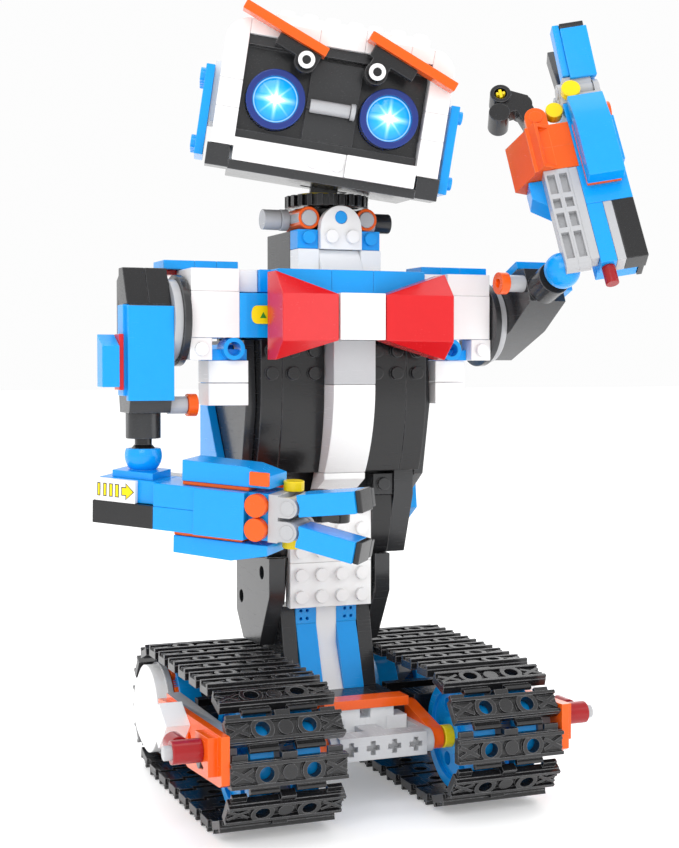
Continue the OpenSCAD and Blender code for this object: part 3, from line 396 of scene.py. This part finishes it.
def patch(name, where, faces, material, body, slot=None):
    """Flat faces, given in mm in a frame of the drawing."""
    me = bpy.data.meshes.new(name)
    verts, polys = [], []
    for f in faces:
        polys.append(list(range(len(verts), len(verts) + len(f))))
        verts += [where @ Vector([v / 1000 for v in p]) for p in f]
    me.from_pydata([tuple(v) for v in verts], [], polys)
    me.materials.append(material)
    me.update()
    o = bpy.data.objects.new(name, me)
    bpy.context.scene.collection.objects.link(o)
    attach(o, body)
    return o


def painted_eye_glow():
    """A lens with painted glow and a painted star glint: pale rays from the centre over cyan, with a thin bright rim.
    """
    t = Tree("painted_glow_lens")
    a = t.n("Attribute", attribute_name="eye_place")
    sep = t.n("SeparateXYZ")
    t.link(a.outputs["Vector"], sep.inputs[0])
    x, z = sep.outputs[0], sep.outputs[2]
    r = t.math("SQRT", t.math("ADD", t.math("MULTIPLY", x, x), t.math("MULTIPLY", z, z)))
    ax, az = t.math("ABSOLUTE", x), t.math("ABSOLUTE", z)
    d1 = t.math("ABSOLUTE", t.math("ADD", x, z))
    d2 = t.math("ABSOLUTE", t.math("SUBTRACT", x, z))
    # Painted glint: four pale rays, a bright core and a thin bright rim, given as emission of the lens itself.
    fade = t.math("SUBTRACT", 1.0, r, True)
    rays = None
    for d, w, k in ((ax, 9.0, 0.9), (az, 6.0, 1.2), (d1, 11.0, 0.6), (d2, 11.0, 0.6)):
        v = t.math("MULTIPLY", t.math("SUBTRACT", 1.0, t.math("MULTIPLY", d, w), True), k)
        v = t.math("MULTIPLY", v, fade)
        rays = v if rays is None else t.math("ADD", rays, v)
    core = t.math("POWER", t.math("SUBTRACT", 1.0, t.math("MULTIPLY", r, 1.7), True), 1.6)
    rim = t.math("SUBTRACT", 1.0, t.math("MULTIPLY", t.math("ABSOLUTE", t.math("SUBTRACT", r, 0.94)), 26.0), True)
    glow = t.math("ADD", t.math("ADD", rays, core), t.math("MULTIPLY", rim, 0.55), True)
    base = t.mix(t.ramp(r, [(0.15, 0.0), (0.95, 1.0)]), (0.02, 0.62, 1.0), (0.0, 0.24, 0.72))
    col = t.mix(glow, base, (0.82, 0.99, 1.0))
    p = t.n("BsdfPrincipled")
    p.inputs["Base Color"].default_value = (0.0, 0.2, 0.4, 1)
    p.inputs["Roughness"].default_value = 0.12
    t.link(col, p.inputs["Emission Color"])
    # The whole lens emits light as a painted glow, though it holds no lamp.
    t.link(t.math("ADD", t.math("MULTIPLY", glow, 0.8), 0.75), p.inputs["Emission Strength"])
    t.link(p.outputs[0], t.out.inputs["Surface"])
    return t.m


def lenses():
    # A copy of the lens node that carries the painted glow and glint material.
    me = NODES["eye_lenses"].data.copy()
    me.name = "painted_glow_lenses"
    me.materials.clear()
    me.materials.append(painted_eye_glow())
    inv = HEAD.inverted()
    at = me.attributes.new("eye_place", "FLOAT_VECTOR", "POINT")
    for v in me.vertices:
        q = inv @ v.co * 1000
        cx = 20 if q.x > 0 else -20
        at.data[v.index].vector = ((q.x - cx) / 8, q.y / 8, (q.z - 18) / 8)
    for p in me.polygons:
        p.use_smooth = False
    o = bpy.data.objects.new("painted_glow_lenses", me)
    bpy.context.scene.collection.objects.link(o)
    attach(o, "head")
    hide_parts("eye_lenses")


lenses()


def sticker(name, base, rough=0.35):
    return plastic(name, base, rough, 0.08, base, 0.0, 0.04, spec=0.3)


INK, SUN, LEAF, STEEL = sticker("sticker_ink", (0.01, 0.01, 0.01)), sticker("sticker_yellow", (0.93, 0.72, 0.0)), sticker("sticker_green", (0.02, 0.25, 0.03)), sticker("sticker_grey", (0.42, 0.45, 0.47))


def bar(a, b, c, d, y):
    return [(a, y, c), (b, y, c), (b, y, d), (a, y, d)]


def arrow(a, b, h, g, y, e):
    """An arrow from x = a to x = b, head half height h, shaft half height g, grown by e."""
    m, k = b - h * 1.05, -11.0
    return [[(a - e, y, k - g - e), (m + e * 0.2, y, k - g - e), (m + e * 0.2, y, k + g + e), (a - e, y, k + g + e)],
            [(m - e, y, k - h - e * 1.6), (b + e * 1.5, y, k), (m - e, y, k + h + e * 1.6)]]


ink, sun = [], []
for i in range(4):
    x = -11.0 + i * 2.35
    w = 0.55 + 0.12 * i
    ink.append(bar(x, x + w + 0.7, -13.3, -8.7, -12.03))
    sun.append(bar(x + 0.3, x + w + 0.4, -13.0, -9.0, -12.06))
ink += arrow(-1.1, 3.2, 2.5, 1.2, -12.03, 0.3)
sun += arrow(-1.1, 3.2, 2.5, 1.2, -12.06, 0.0)
patch("arm_tile_outlines", RIGHT_FORE, ink, INK, "right_lower_arm")
patch("arm_tile_bars", RIGHT_FORE, sun, SUN, "right_lower_arm")


def on_badge(x, z, lift):
    return (x, 16.5 - math.sqrt((30 + lift) ** 2 - (x + 32) ** 2), z)


FLAT = Matrix.Translation(mm(0, 0, 0))
badge = []
n = 20
for i in range(n):
    a, b = -36.1 + 8.2 * i / n, -36.1 + 8.2 * (i + 1) / n

    def half(x):
        e = min(x + 36.1, -27.9 - x, 2.2)
        return 3.2 - 2.2 + math.sqrt(max(0.0, 2.2 ** 2 - (2.2 - e) ** 2))

    badge.append([on_badge(a, 172 - half(a), 0.04), on_badge(b, 172 - half(b), 0.04), on_badge(b, 172 + half(b), 0.04), on_badge(a, 172 + half(a), 0.04)])
patch("badge_yellow", FLAT, badge, SUN, BODY["badge_bricks"])
patch("badge_triangle", FLAT, [[on_badge(-33.1, 170.8, 0.07), on_badge(-30.7, 170.8, 0.09), on_badge(-31.9, 173.0, 0.09)]], LEAF, BODY["badge_bricks"])


def gear(cy, cz, r, teeth, x):
    """A flat gear wheel in the plane of a side panel, made of sectors."""
    out = []
    for i in range(teeth * 2):
        a, b = math.pi * i / teeth, math.pi * (i + 1) / teeth
        q = r if i % 2 == 0 else r * 0.8
        p = r * 0.42
        out.append([(x, cy + p * math.cos(a), cz + p * math.sin(a)), (x, cy + p * math.cos(b), cz + p * math.sin(b)), (x, cy + q * math.cos(b), cz + q * math.sin(b)), (x, cy + q * math.cos(a), cz + q * math.sin(a))])
    return out


for s, side in ((-1, "right"), (1, "left")):
    x = s * 39.24
    patch("panel_gears_" + side, FLAT, gear(27, 115, 4.4, 9, x) + gear(25.5, 104.5, 3.2, 8, x), STEEL, BODY["side_panels"])


# ------------------------------------------------- stage, light and camera
def area(name, loc, target, size, power, colour=(1, 1, 1)):
    d = bpy.data.lights.new(name, "AREA")
    d.shape = "RECTANGLE"
    d.size, d.size_y = size
    d.energy = power
    d.color = colour
    o = bpy.data.objects.new(name, d)
    o.location = loc
    o.rotation_euler = (Vector(target) - Vector(loc)).to_track_quat("-Z", "Y").to_euler()
    bpy.context.scene.collection.objects.link(o)
    return o


def stage():
    t = Tree("pale_floor")
    obj = t.n("TexCoord").outputs["Object"]
    p = t.n("BsdfPrincipled")
    t.link(t.mix(t.noise(obj, 3, 2), (0.90, 0.90, 0.90), (0.92, 0.92, 0.92)), p.inputs["Base Color"])
    p.inputs["Roughness"].default_value = 0.55
    p.inputs["Specular IOR Level"].default_value = 0.25
    p.inputs["Emission Color"].default_value = (1.0, 1.0, 1.0, 1)
    p.inputs["Emission Strength"].default_value = 0.26
    t.link(p.outputs[0], t.out.inputs["Surface"])
    me = bpy.data.meshes.new("floor")
    s = 9.0
    me.from_pydata([(-s, -s, -0.0002), (s, -s, -0.0002), (s, s, -0.0002), (-s, s, -0.0002)], [], [(0, 1, 2, 3)])
    me.materials.append(t.m)
    o = bpy.data.objects.new("floor", me)
    bpy.context.scene.collection.objects.link(o)


stage()
world = bpy.data.worlds.new("studio")
bpy.context.scene.world = world
world.use_nodes = True
wt = world.node_tree
bg = wt.nodes["Background"]
bg.inputs["Color"].default_value = (1.0, 1.0, 1.0, 1)
bg.inputs["Strength"].default_value = 0.98
MID = (0, 0, 0.14)
area("key", (-0.55, -0.95, 0.85), MID, (0.7, 0.7), 4.2)
area("fill", (0.95, -0.65, 0.45), MID, (0.6, 1.0), 2.4)
area("top", (0.05, 0.15, 1.15), MID, (0.9, 0.9), 3.4)
area("back_left", (-0.8, 0.75, 0.5), MID, (0.5, 0.9), 1.6)
area("back_right", (0.75, 0.8, 0.6), MID, (0.5, 0.9), 1.6)
bpy.context.scene.view_settings.view_transform = "Standard"

cam_data = bpy.data.cameras.new("camera")
cam = bpy.data.objects.new("camera", cam_data)
bpy.context.scene.collection.objects.link(cam)
cam_data.sensor_width = 36.0
cam_data.lens = 1484.56 * 36.0 / 848
cam.location = mm(-200.85, -504.54, 153.94)
a, p = math.radians(21.918), math.radians(2.216)
look = Vector((math.sin(a) * math.cos(p), math.cos(a) * math.cos(p), -math.sin(p)))
cam.rotation_euler = look.to_track_quat("-Z", "Y").to_euler()
bpy.context.scene.camera = cam

bpy.context.view_layer.update()
